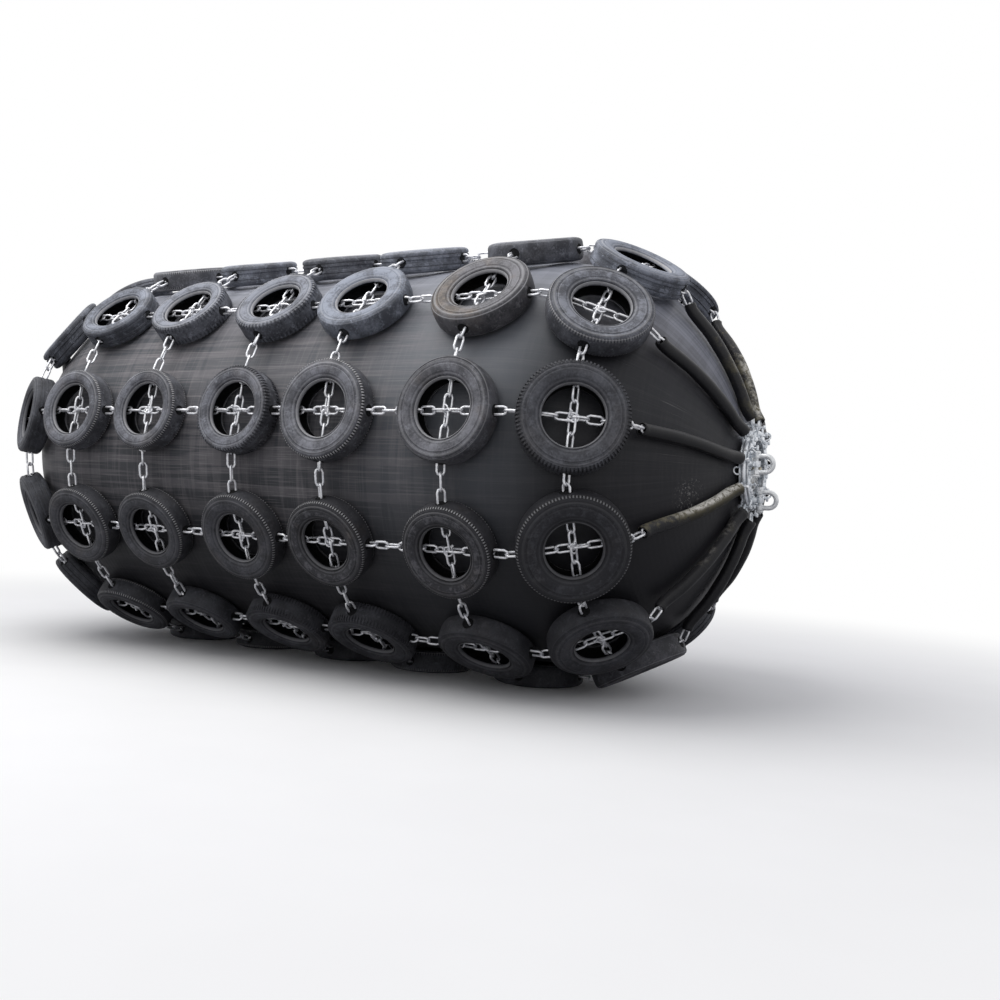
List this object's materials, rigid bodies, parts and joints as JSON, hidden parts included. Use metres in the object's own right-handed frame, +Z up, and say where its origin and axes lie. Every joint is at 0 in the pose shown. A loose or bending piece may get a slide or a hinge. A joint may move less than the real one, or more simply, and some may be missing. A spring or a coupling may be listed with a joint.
{
  "type": "pneumatic fender",
  "caption": "Large air-filled rubber ship fender in a net of chains and used tyres, with sleeved end chains drawn to a steel ring at each end.",
  "frame": {"origin": "on the floor, under the middle of the fender", "axes": "+X along the fender towards the end with the air valve, +Z up"},
  "size_m": [7.5108, 3.7536, 3.7142],
  "materials": {
    "body_rubber": "wrapped black rubber, satin, scuffed",
    "tyre_rubber": "worn tyre rubber, dusty",
    "sleeve_rubber": "smooth hose, stained",
    "galvanised_steel": "bright galvanised",
    "flange_steel": "dull galvanised",
    "valve_brass": "weathered brass"
  },
  "bodies": {
    "root": {"fender_body": "body_rubber", "tyre_row_01": "tyre_rubber", "chain_sleeve_right_01": "sleeve_rubber", "chain_sleeve_left_01": "sleeve_rubber", "tyre_row_02": "tyre_rubber", "chain_sleeve_right_02": "sleeve_rubber", "chain_sleeve_left_02": "sleeve_rubber", "tyre_row_03": "tyre_rubber", "chain_sleeve_right_03": "sleeve_rubber", "chain_sleeve_left_03": "sleeve_rubber", "tyre_row_04": "tyre_rubber", "chain_sleeve_right_04": "sleeve_rubber", "chain_sleeve_left_04": "sleeve_rubber", "tyre_row_05": "tyre_rubber", "chain_sleeve_right_05": "sleeve_rubber", "chain_sleeve_left_05": "sleeve_rubber", "tyre_row_06": "tyre_rubber", "chain_sleeve_right_06": "sleeve_rubber", "chain_sleeve_left_06": "sleeve_rubber", "tyre_row_07": "tyre_rubber", "chain_sleeve_right_07": "sleeve_rubber", "chain_sleeve_left_07": "sleeve_rubber", "tyre_row_08": "tyre_rubber", "chain_sleeve_right_08": "sleeve_rubber", "chain_sleeve_left_08": "sleeve_rubber", "tyre_row_09": "tyre_rubber", "chain_sleeve_right_09": "sleeve_rubber", "chain_sleeve_left_09": "sleeve_rubber", "tyre_row_10": "tyre_rubber", "chain_sleeve_right_10": "sleeve_rubber", "chain_sleeve_left_10": "sleeve_rubber", "tyre_row_11": "tyre_rubber", "chain_sleeve_right_11": "sleeve_rubber", "chain_sleeve_left_11": "sleeve_rubber", "end_flange_right": "flange_steel", "end_cover_right": "flange_steel", "air_valve": "valve_brass", "net_ring_right": "galvanised_steel", "towing_shackle_right_1": "galvanised_steel", "towing_pin_right_1": "galvanised_steel", "towing_shackle_right_2": "galvanised_steel", "towing_pin_right_2": "galvanised_steel", "end_flange_left": "flange_steel", "end_cover_left": "flange_steel", "safety_valve": "valve_brass", "net_ring_left": "galvanised_steel", "towing_shackle_left_1": "galvanised_steel", "towing_pin_left_1": "galvanised_steel", "towing_shackle_left_2": "galvanised_steel", "towing_pin_left_2": "galvanised_steel"}
  },
  "joints": []
}
